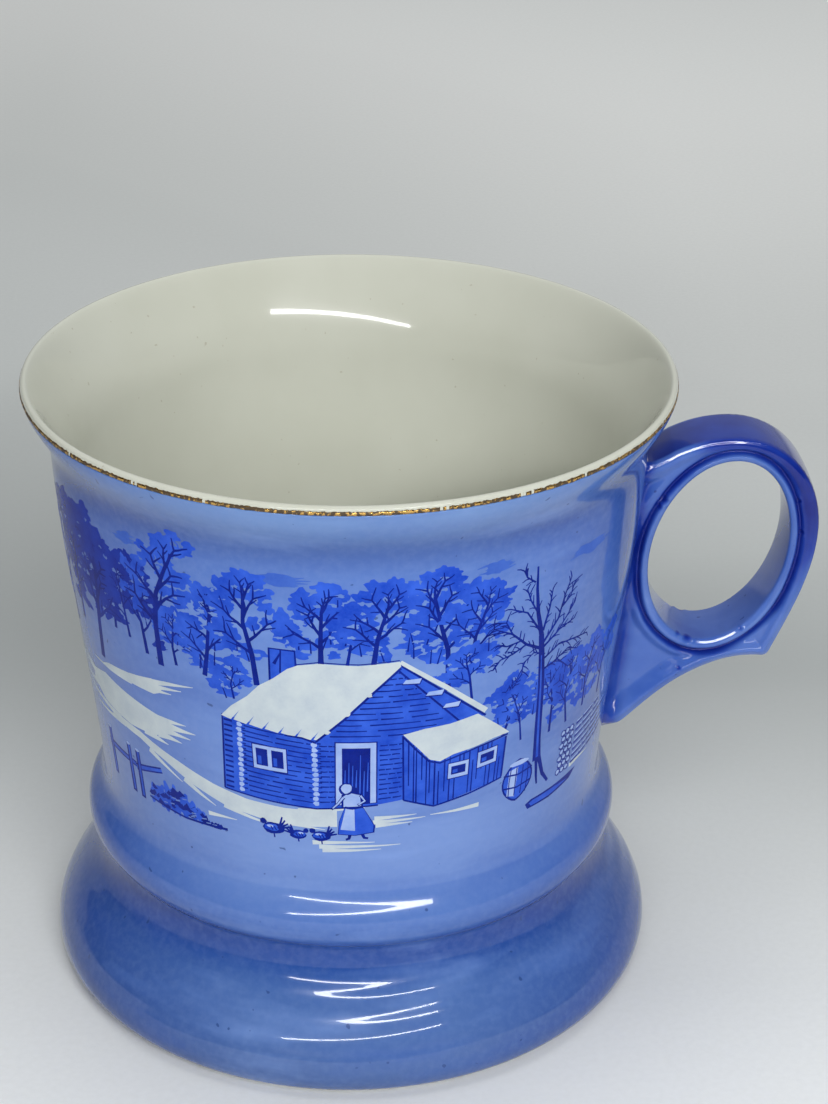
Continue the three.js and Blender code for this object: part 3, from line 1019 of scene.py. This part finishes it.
def log_stack(d, left, right, low, high):
    """Cut logs seen end on, in rows, with their lengths running off to the right."""
    rows = int((high - low) / 1.15)
    for row in range(rows):
        z = low + row * 1.15
        for k in range(3):
            x = left + 1.15 * k + 0.3 * (row % 2)
            d.blob("dark", x, z, 0.66, 0.6, 0.06, 12)
            d.blob("pale", x - 0.05, z + 0.04, 0.44, 0.38, 0.08, 10)
        x = left + 3.6
        while x < right - 0.5 * row:
            length = d.vary(1.2, 3.4)
            d.line([(x, z), (x + length, z + 0.12 * length)], 0.42, 0.3)
            edge = [(x + 0.2, z + 0.42), (x + length, z + 0.42 + 0.12 * length)]
            d.line(edge, 0.2, 0.12, colour="pale")
            x += length + d.vary(0.1, 0.7)
            z += 0.12 * length


def fence(d, posts, rails, low, tall):
    """A post and rail fence in deep snow. posts holds places along the wall, rails pairs of points."""
    for start, end in rails:
        d.line([start, end], 1.15, 1)
        d.line([start, end], 0.6, 0.5, colour="mid")
    for x in posts:
        top = low + tall + d.vary(-0.4, 0.4)
        d.line([(x, low - 0.6), (x + 0.1, top)], 1.1)
        d.line([(x + 0.12, low - 0.2), (x + 0.2, top - 0.25)], 0.5, colour="mid")
        d.blob("pale", x + 0.1, top, 0.5, 0.25, 0.08, 10)


def woodpile(d, left, right, low, high):
    """A heap of split wood and dead leaves, highest left of its middle."""
    def room(t):
        return (high - low) * math.sin(math.pi * min(t * 1.15 + 0.08, 1)) ** 0.7

    wide = right - left
    for k in range(9):
        t = (k + 0.5) / 9
        d.blob("mid", left + wide * t, low + room(t) * 0.4, wide / 13, room(t) * 0.5 + 0.3)
    for _ in range(60):
        t = d.chance.random()
        x, z = left + wide * t, low + room(t) * d.chance.random()
        size, lean = d.vary(0.4, 0.95), d.vary(-0.5, 0.5)
        d.fill(d.chance.choice(("dark", "dark", "mid")),
               [(x - size, z - 0.2), (x, z - 0.45), (x + size, z - 0.1), (x + lean, z + 0.6)])
    for _ in range(16):
        t = d.chance.random()
        x, z = left + wide * t, low + room(t) * d.chance.random()
        d.line([(x - 0.5, z), (x + 0.4, z + 0.15)], 0.2, colour="ground")
    d.line([(left - 0.5, low), ((left + right) / 2, low - 0.5), (right + 0.6, low)], 0.3, 0.4)


def figure(d, x, z):
    """A small plain figure in a long skirt, an apron and a cap, with one arm out to feed the hens."""
    d = d.moved(x, z)
    skirt = [(-1.9, 1.1), (0.6, 0.9), (3.3, 1.4), (3.4, 2.6), (2.4, 4.6), (1.6, 6.2), (-0.9, 6), (-1.7, 3.4)]
    d.fill("dark", [(px * 1.07, pz) for px, pz in skirt])
    d.fill("mid", [(px, pz + 0.12) for px, pz in skirt])
    d.fill("pale", [(-1.6, 2), (0.6, 1.8), (0.5, 5.9), (-0.8, 5.8)])
    d.fill("dark", [(-1.4, 5.8), (1.8, 5.9), (1.7, 8.4), (-0.2, 8.9), (-1.4, 8.2)])
    d.fill("pale", [(-1.1, 6.1), (1.5, 6.2), (1.3, 8.2), (-0.2, 8.6), (-1.1, 8)])
    d.line([(-0.9, 6), (0.2, 5.8), (1.6, 6.1)], 0.4)
    d.blob("dark", -0.7, 9.3, 1.05, 1.1, 0.05, 14)
    d.blob("pale", -0.65, 9.35, 0.8, 0.84, 0.05, 14)
    d.line([(-1.1, 7.8), (-1.9, 6.6), (-2.9, 5.6)], 0.62, 0.4)
    d.line([(-1.1, 7.8), (-1.9, 6.65), (-2.7, 5.8)], 0.32, 0.2, "pale")
    d.line([(1.4, 8.2), (2.2, 7.1), (1, 6.4)], 0.6, 0.45)
    d.line([(1.4, 8.1), (2.05, 7.15), (1.1, 6.5)], 0.3, 0.25, "pale")
    d.line([(-0.2, 1), (-0.3, 0.4), (-0.8, 0.2)], 0.55, 0.35)
    d.line([(1.7, 1.2), (2, 0.5), (2.6, 0.4)], 0.55, 0.35)


def hen(d, x, z, size, facing):
    """A hen with a fan of tail feathers. facing is 1 when it looks to the right."""
    d = d.moved(x, z)
    ahead = facing * size
    d.blob("dark", 0, 0, 1.55 * size, 0.95 * size, 0.04, 14)
    d.blob("mid", 0.25 * ahead, 0.1, 1.15 * size, 0.55 * size, 0.05, 12)
    d.blob("pale", 0.5 * ahead, 0.3, 0.5 * size, 0.22 * size, 0.05, 10)
    d.blob("dark", 1.45 * ahead, 0.95 * size, 0.5 * size, 0.5 * size, 0.04, 10)
    for k in range(4):
        d.line([(-0.8 * ahead, 0.1), ((0.4 * k - 2.5) * ahead, (0.5 + 0.5 * k) * size)], 0.42, 0.25)
    for k in (-0.4, 0.1, 0.6):
        d.line([(k * size, 0.3 * size), ((k + 0.3) * size, -0.3 * size)], 0.2)
    d.line([(0, -0.8 * size), (0.1, -1.5 * size)], 0.22)


def cloud(d, x, z, wide):
    """A streak of cloud in the sky's darker tint, dry brushed at both ends."""
    d.blob("cloud", x, z, wide * 0.6, 0.95, 0.14)
    for k in range(6):
        side = (-1) ** k
        start = (x + side * wide * 0.2, z + (k - 2.5) * 0.22)
        d.tuft("cloud", start, (x + side * wide * d.vary(0.6, 1), start[1] + 0.3 * side), 0.5)


# The wood behind the cabin. Brush is (left, right, low, high, clumps), and its ink where it isn't mid.
FRONT_BRUSH = [
    (-50, -24, 67.5, 74.5, 30, "deep"),
    (-22, -12, 66.5, 73, 16),
    (-9, 9, 71.5, 76, 20),
    (9.5, 20, 66.5, 74.5, 20),
    (19, 30, 56, 63.5, 20),
    (30.5, 47, 54, 62.5, 26),
    (-20, -15.5, 63.2, 66.5, 5),
]
# A tree is (trunk, width, boughs, reach), and its crown's ink where it isn't mid.
FRONT_TREES = [
    ([(-54.5, 61), (-54, 70), (-53, 79)], 0.9, 5, 4.6, "deep"),
    ([(-49, 64), (-48.6, 72), (-47.4, 80)], 0.9, 6, 4.4, "deep"),
    ([(-37.6, 67.6), (-37.2, 72), (-38.6, 78)], 0.7, 5, 4, "deep"),
    ([(-31, 66), (-31.4, 71), (-33.6, 77.6)], 0.8, 5, 4.2, "deep"),
    ([(-34.4, 67.4), (-34.8, 72), (-35.4, 76)], 0.6, 4, 3.2, "deep"),
    ([(-25.6, 66), (-25.9, 69), (-25.4, 72.4)], 0.6, 4, 2.8),
    ([(-28.5, 65), (-28.5, 72), (-27.8, 77), (-25.6, 82)], 1.25, 6, 5.4),
    ([(-20.9, 65.8), (-20.1, 70), (-19.2, 76.8)], 0.9, 5, 3.6),
    ([(-16.6, 63), (-16.9, 65.4), (-16.4, 67.2)], 0.4, 3, 1.8),
    ([(-13, 66), (-13.4, 71), (-14.4, 76), (-14.2, 80)], 1, 6, 4.6),
    ([(-4, 70.4), (-4, 74.2), (-3.8, 79)], 0.95, 6, 4.2),
    ([(-0.5, 70.4), (0, 73.8), (1, 77.2)], 0.55, 4, 2.4),
    ([(3, 70.4), (3.5, 74.6), (4.8, 79.4)], 0.9, 6, 4.2),
    ([(13.5, 64.8), (13.1, 71.6), (11.9, 76), (10.9, 80.6)], 0.95, 7, 4.4),
    ([(16.4, 66.4), (17, 73), (18.6, 78)], 0.75, 6, 3.8),
    ([(17.2, 62.6), (16.6, 66.4), (15.9, 69)], 0.5, 4, 2.4),
    ([(23, 54.4), (24.1, 58), (23.4, 62)], 0.6, 5, 2.8),
    ([(26.6, 52.6), (25.8, 57), (24.6, 59.8)], 0.4, 3, 2.2),
    ([(32.6, 51.6), (32.3, 57), (31.2, 61)], 0.6, 5, 3),
    ([(36.6, 51.6), (35.2, 57), (35.8, 61)], 0.55, 5, 3.2),
    ([(41, 52.4), (40.4, 57.6), (41.2, 61.6)], 0.55, 5, 3.2),
    ([(46.4, 52), (46, 57), (47, 60.6)], 0.5, 4, 3),
    ([(-43.5, 60), (-42.5, 67), (-41.6, 72), (-41.2, 78)], 1.3, 7, 4.8, "deep"),
]


def draw_snow(d):
    """The snow in front, from the far drifts to the trodden path."""
    d.drift([(-44, 58.8), (-38, 58.9), (-31, 59.2), (-29, 60.2), (-31, 61.8), (-36, 60.6), (-42, 59.6)],
            [((-32, 61), (-23.2, 63)), ((-31.5, 60.4), (-25.4, 61.6)), ((-31.5, 59.8), (-27.4, 60.4)),
             ((-36, 60.2), (-28.2, 62.3)), ((-36, 59.2), (-47.5, 58.4))])
    d.drift([(-50, 53.4), (-46, 51.4), (-38, 50.9), (-32, 51.6), (-29, 53.4), (-29, 55.4), (-36, 56.2),
             (-44, 57), (-49, 55.6)],
            [((-31, 55), (-25.4, 55.7)), ((-30.4, 54.4), (-23.8, 54.7)), ((-30.4, 53.4), (-24.8, 53.5)),
             ((-31.4, 52.4), (-26.6, 52.3)), ((-34.5, 51.7), (-29.4, 51)), ((-46, 54.6), (-57.5, 56.2)),
             ((-46, 53.2), (-56, 52.4))], 1.4)
    d.drift([(-44, 49.9), (-36, 49.4), (-30.5, 47.7), (-25, 45.4), (-20, 43.7), (-14, 42.7), (-6, 42.3),
             (-2.2, 42.5), (-2.2, 45.4), (-10, 45.2), (-16, 45.7), (-21.5, 46.9), (-28, 48.8), (-36, 50.7),
             (-43, 51)],
            [((-41, 50.5), (-55.5, 51.2)), ((-40, 50), (-51.5, 49.2)), ((-34, 48.4), (-27.5, 45.2)),
             ((-27, 46), (-21.5, 43)), ((-20, 43.6), (-11, 41.6)), ((-14, 42.8), (-4, 41.9)),
             ((-8, 45), (2, 46))])
    for x, z, reach in ((3.4, 43.9, 6.4), (3.2, 43.2, 8), (3.6, 42.6, 5.6), (-6, 39.5, 9.5), (-5, 38.8, 12.5),
                        (-4.5, 38.2, 9), (-23, 41.3, 5), (20, 43.4, -8), (40, 42.2, 6)):
        d.tuft("white", (x, z), (x + reach, z + 0.15), 0.75)


def draw_front(d):
    """The side that the photo shows: a cabin before a wood, with snow and a yard in front of it."""
    for x, z, wide in ((-9.4, 83.4, 4.4), (19.6, 83.4, 3), (36.5, 81, 5), (-33, 84, 2.4)):
        cloud(d, x, z, wide)
    for brush in FRONT_BRUSH:
        thicket(d, *brush)
    for grown in FRONT_TREES:
        tree(d, *grown)
    for _ in range(16):
        d.blob("deep", d.vary(-49, -39), d.vary(78.5, 84.6), d.vary(1.4, 2.4), d.vary(0.8, 1.3))
    draw_snow(d)
    cabin(d)
    log_stack(d, 36.6, 50.5, 42.6, 51)
    bare_tree(d)
    barrel(d, 27, 45.4, 3, 3.8)
    # A log that lies in the snow.
    d.fill("dark", [(29.4, 39.9), (30, 38.9), (35, 38.9), (40.6, 39.7), (42.2, 41), (36, 40.6),
                    (30.6, 40.4)])
    d.fill("mid", [(30.2, 39.8), (30.8, 39.2), (35, 39.25), (40, 40), (36, 40.25), (31, 40.1)])
    rails = [((-47.5, 43.6), (-38.5, 43.6)), ((-38.6, 43.2), (-31.9, 45.4))]
    fence(d, (-46.8, -40.3, -37.8), rails, 38.6, 7.6)
    woodpile(d, -35.4, -20.4, 39.2, 43.4)
    figure(d, -0.1, 40)
    for x, z, size, facing in ((-12, 41.3, 1.1, -1), (-8.2, 40.7, 0.85, 1), (-4.6, 40.7, 0.95, -1)):
        hen(d, x, z, size, facing)


def barn(d):
    long_side = [(-126, 54), (-108, 54), (-108, 62.5), (-126, 62.5)]
    d.fill("mid", long_side)
    d.fill("mid", [(-108, 54), (-101.5, 55.4), (-101.5, 62.6), (-104.6, 68.6), (-108, 62.5)])
    planks(d, long_side, 18)
    planks(d, [(-108, 54), (-101.5, 55.4), (-101.5, 62.6), (-108, 62.5)], 8)
    d.fill("white", hanging_edge(d, (-127.4, 61.9), (-108.2, 61.9), 8, 1.1)
           + [(-104.6, 68.9), (-122.8, 69.6), (-125.4, 65.6)])
    d.line([(-108.2, 61.7), (-104.6, 68.7), (-101.2, 62.3)], 0.34)
    d.line([(-104.5, 69.3), (-100.9, 62.7)], 0.7, colour="white")
    d.line([(-126, 54), (-108, 53.9), (-101.5, 55.3)], 0.3)
    d.line([(-108, 53.9), (-108, 61.8)], 0.3)
    for x in (-122.6, -115.6):
        window(d, x, 56.6, 4, 3.2, 2)
    d.fill("dark", [(-106.6, 54.4), (-103.4, 55), (-103.4, 60.2), (-106.6, 60)])


def pond(d):
    """Pale streaks of ice, with reeds at both ends."""
    for k in range(6):
        z, half = 49.6 - 1.25 * k, 14 - 1.6 * abs(k - 2.5)
        d.line([(-117 - half, z), (-117, z + 0.25), (-117 + half, z)], 0.5, 0.25, colour="pale")
    for _ in range(34):
        x = -117 + d.chance.choice((-1, 1)) * d.vary(11, 17)
        z = d.vary(41.5, 49)
        d.line([(x, z), (x + d.vary(-0.5, 0.5), z + d.vary(1.2, 2.6))], 0.3, 0.16)


def draw_back(d):
    """The far side of the wall: the wood runs on round a frozen pond, with a barn on the other bank."""
    for x, z, wide in ((-92, 82, 5), (-118, 83.4, 4), (-150, 82.6, 5.5), (-70, 83.6, 3)):
        cloud(d, x, z, wide)
    thicket(d, -128, -60, 62.5, 68.5, 70)
    thicket(d, -182, -128, 60, 68, 56)
    x = -60
    while x > -180:
        if not -127 < x < -104:
            foot, tall = 61 + d.vary(-1.5, 2), d.vary(9, 15)
            bend = d.vary(-1.2, 1.2)
            tree(d, [(x, foot), (x + bend * 0.4, foot + tall * 0.45), (x + bend, foot + tall)],
                 0.45 + tall * 0.04, 6, tall * 0.3)
        x -= d.vary(4.6, 7.4)
    for x, z, reach in ((-66, 55, 12), (-88, 57.5, 14), (-136, 57, 12), (-160, 54, 14), (-176, 50, 10)):
        left, right = x - reach / 2, x + reach / 2
        body = [(left, z - 1.2), (x, z - 1.7), (right, z - 0.8), (right, z + 0.8), (x, z + 1.6),
                (left, z + 0.9)]
        tips = [((x + side * reach * 0.4, z + k * 0.5), (x + side * reach * d.vary(0.7, most), z + k * fan))
                for side, most, fan in ((1, 0.95, 0.8), (-1, 0.9, 0.7)) for k in (-1, 0, 1)]
        d.drift(body, tips)
        d.tuft("pale", (x - 6, z - 6), (x + reach * 0.6, z - 5.4), 1)
    barn(d)
    pond(d)
    for left, right in ((-98, -64), (-178, -140)):
        posts = [left + 5 * k for k in range(int((right - left) / 5) + 1)]
        fence(d, posts, [((left - 1, z), (right + 1, z + 0.6)) for z in (40.6, 43)], 39.4, 5.2)
    bare_tree(d, -164)
    bare_tree(d, -108, 1)
    log_stack(d, -160, -150, 45.6, 50.4)
    woodpile(d, -95, -84, 44, 47)
    hen(d, -70, 38.9, 0.9, 1)
    hen(d, -75.5, 38.5, 0.8, -1)


def cut_sheet(drawing, left, right):
    """Cuts every shape and a lattice into one sheet of triangles, and gives each ink its triangles."""
    verts, faces = [], []
    for _, corners in drawing.shapes:
        points = []
        for a, b in zip(corners, corners[1:] + corners[:1]):
            pieces = max(1, math.ceil(abs(b[0] - a[0]) / LATTICE))
            points += [tuple(p + (q - p) * k / pieces for p, q in zip(a, b)) for k in range(pieces)]
        faces.append(list(range(len(verts), len(verts) + len(points))))
        verts.extend(points)
    for i, x in enumerate(np.arange(left, right, LATTICE)):
        for z in np.arange(PRINT_LOW, PRINT_HIGH, LATTICE) + (i % 2) * LATTICE / 2:
            verts.append((x, z))
    corners = [Vector(v) for v in verts]
    points, _, triangles, _, _, origins = geometry.delaunay_2d_cdt(corners, [], faces, 0, WELD)
    by_ink = {}
    for triangle, origin in zip(triangles, origins):
        if origin:
            colour = drawing.shapes[max(origin)][0]
            by_ink.setdefault(colour, []).append(list(triangle))
    return np.array([tuple(p) for p in points]), by_ink


def on_wall(flat, lift):
    """Where points of the drawing come to lie, at a height over the glaze."""
    angle = flat[:, 0] / SCALE_RADIUS - math.pi / 2
    true = true_radius(flat[:, 1])
    radius = true + unevenness(true, flat[:, 1], angle) + lift
    return np.stack([radius * np.cos(angle), radius * np.sin(angle), flat[:, 1]], 1)


def wall_normals(flat):
    step = 0.05
    right = on_wall(flat + (step, 0), 0) - on_wall(flat - (step, 0), 0)
    up = on_wall(flat + (0, step), 0) - on_wall(flat - (0, step), 0)
    normal = np.cross(right, up)
    return normal / np.linalg.norm(normal, axis=1)[:, None]


def lay_ink(name, flat, triangles, look):
    """One ink as a thin closed film that sinks into the glaze, with the wall's own normals on its face."""
    triangles = np.array(triangles)
    used, triangles = np.unique(triangles, return_inverse=True)
    triangles = triangles.reshape(-1, 3)
    flat = flat[used]
    count = len(flat)
    faces = triangles.tolist()
    edges = dict.fromkeys(edge for a, b, c in faces for edge in ((a, b), (b, c), (c, a)))
    faces += (triangles[:, ::-1] + count).tolist()
    faces += [[b, a, a + count, b + count] for a, b in edges if (b, a) not in edges]
    vertices = np.vstack([on_wall(flat, INK_LIFT), on_wall(flat, -INK_DEPTH)])
    piece = add_mesh(name, vertices, faces, look)
    normals = wall_normals(flat)
    loops = np.zeros((len(piece.data.loops), 3))
    loops[:triangles.size] = normals[triangles.ravel()]
    piece.data.normals_split_custom_set(loops.tolist())
    settle(piece, "print_blue", "winter_scene_transfer")


def make_print():
    inks = {
        "white": ink("ink_snow_white", "c6d0d4", "b4c0cb"),
        "pale": ink("ink_pale_blue", "a4b9e6", "88a2dc"),
        "cloud": ink("ink_cloud_blue", "456ac4", "385cba"),
        "mid": ink("ink_mid_blue", "3561d6", "1640b8", 260),
        "deep": ink("ink_deep_blue", "1637a8", "0a2089", 200),
        "dark": ink("ink_dark_blue", "0b2590", "061874"),
    }
    for label, seed, draw, left, right in (
        ("front", 5, draw_front, PRINT_SEAM, PRINT_RIGHT),
        ("back", 23, draw_back, PRINT_LEFT, PRINT_SEAM),
    ):
        drawing = Drawing(seed)
        draw(drawing)
        flat, by_ink = cut_sheet(drawing, left, right)
        for colour, triangles in by_ink.items():
            if colour != "ground":
                lay_ink(f"print_{label}_{colour}", flat, triangles, inks[colour])


# ---- stage, lights and camera

ROOM_DARK = 0.02
ROOM_PALE = 0.4
ROOM_CEILING = 0.1
ROOM_TINT = (0.94, 0.98, 1, 1)
KEY_POWER = 8.5
OVERHEAD_POWER = 6.5
TUBE_POWER = 8.5
TUBE_TILT = 0.2
SENSOR = 36
FOCAL_TO_HEIGHT = (2430, 1104)


def make_stage():
    """A sheet of pale card with a painted shadow in its colour: it dips darker behind the mug and is lighter
    in front and far behind.
    """
    m = material("card_floor")
    place = m.axes()
    # Painted shadow: the dark dip behind the mug shifts in place from left to right.
    sideways = m.remap(place["X"], -0.1, 0.1, -0.02, 0.22)
    across = m.combine(sideways, m.remap(place["Y"], 0.07, 0.2), "MULTIPLY")
    # The card's colour: a painted shadow just behind the mug, lighter in front and far behind.
    shade = m.ramp(
        m.combine(m.remap(place["Y"], -0.1, 0.7), across),
        (0, "f0f2f1"),
        (0.09, "f4f6f5"),
        (0.2, "a9adac"),
        (0.29, "b3b7b6"),
        (0.38, "c5c9c7"),
        (0.52, "d4d7d6"),
        (0.62, "cfd2d0"),
        (0.85, "f6f7f5"),
        (1, "f8faf8"),
        ease="B_SPLINE",
    )
    look = m.finish(m.mix(m.uneven(900, 3, 0, 0.06), shade, "9a9c9b"), 0.6)
    floor = turn("floor", [(0, 0), (150, 0), (400, 0), (1400, 0), (4000, 0)], look, 96)
    floor.data.flip_normals()


def make_room():
    """The room round the mug: bright behind it, pale overhead, and dark in front and to the left."""
    world = Nodes(bpy.data.worlds.new("room"))
    bpy.context.scene.world = world.owner
    point = world.add("TexCoord").outputs["Generated"]
    toward = world.add("SeparateXYZ", {"Vector": point}).outputs
    behind = world.remap(toward["Y"], -0.05, 0.3, ROOM_DARK, ROOM_PALE)
    right = world.remap(toward["X"], -0.7, -0.2, 0.12, 1)
    above = world.remap(toward["Z"], 0.35, 0.95, 0, ROOM_CEILING)
    strength = world.combine(world.combine(behind, right, "MULTIPLY"), above)
    back = world.tree.nodes["Background"]
    world.put(back.inputs["Strength"], strength)
    world.put(back.inputs["Color"], ROOM_TINT)


def add_light(name, place, aim, size, power, roll=0):
    """A rectangular light, aimed at a point, in millimetres."""
    data = bpy.data.lights.new(name, "AREA")
    data.shape = "RECTANGLE"
    data.size, data.size_y = size[0] * MM, size[1] * MM
    data.energy = power
    light = add_object(name, data)
    toward = Vector(aim) - Vector(place)
    turned = toward.to_track_quat("-Z", "Y").to_matrix() @ Matrix.Rotation(roll, 3, "Z")
    light.matrix_world = Matrix.Translation(Vector(place) * MM) @ turned.to_4x4()
    return light


def make_lights():
    """A soft key in front, a panel overhead, and the tube that the glazes mirror."""
    key = add_light("key", (190, -1080, 950), (0, 0, 40), (800, 600), KEY_POWER)
    key.visible_glossy = False
    overhead = add_light("overhead", (0, 150, 1400), (0, 100, 0), (1100, 1000), OVERHEAD_POWER)
    overhead.visible_glossy = False
    add_light("tube", (60, -1150, 650), (0, 0, 40), (1350, 60), TUBE_POWER, roll=TUBE_TILT)


def make_camera():
    """The viewpoint: 13.5 cm above the rim and 37 cm from the mug, with a slight roll."""
    place = Vector((0, -326.56, 231.56))
    aim = Vector((9.54, 0, 65.91))
    roll = 0.0095
    forward = (aim - place).normalized()
    right = forward.cross(Vector((0, 0, 1))).normalized()
    up = right.cross(forward)
    right, up = (
        math.cos(roll) * right + math.sin(roll) * up,
        math.cos(roll) * up - math.sin(roll) * right,
    )
    data = bpy.data.cameras.new("camera")
    data.sensor_width = SENSOR
    data.lens = SENSOR * FOCAL_TO_HEIGHT[0] / FOCAL_TO_HEIGHT[1]
    data.clip_start = 0.01
    camera = add_object("camera", data)
    rotation = Matrix((right, up, -forward)).transposed()
    camera.matrix_world = Matrix.Translation(place * MM) @ rotation.to_4x4()
    bpy.context.scene.camera = camera


make_camera()
make_stage()
make_room()
make_lights()
bpy.context.scene.view_settings.view_transform = "Standard"

bisque_look = bisque()
blue_look = blue_glaze()
cobalt_look = cobalt_glaze()
white_look = white_glaze("white_glaze")
underside_look = white_glaze("underside_glaze", "d2d4ca")
gilt_look = gilt()

make_cup()
make_gilt_line()
settle(make_handle("handle_glaze", cobalt_look), "cobalt_glaze", "handle_cobalt_glaze")
settle(make_handle("handle_casting", bisque_look, CASTING_INSET, 240, 12), "bisque_porcelain", "handle")
make_luting_slip()
make_print()
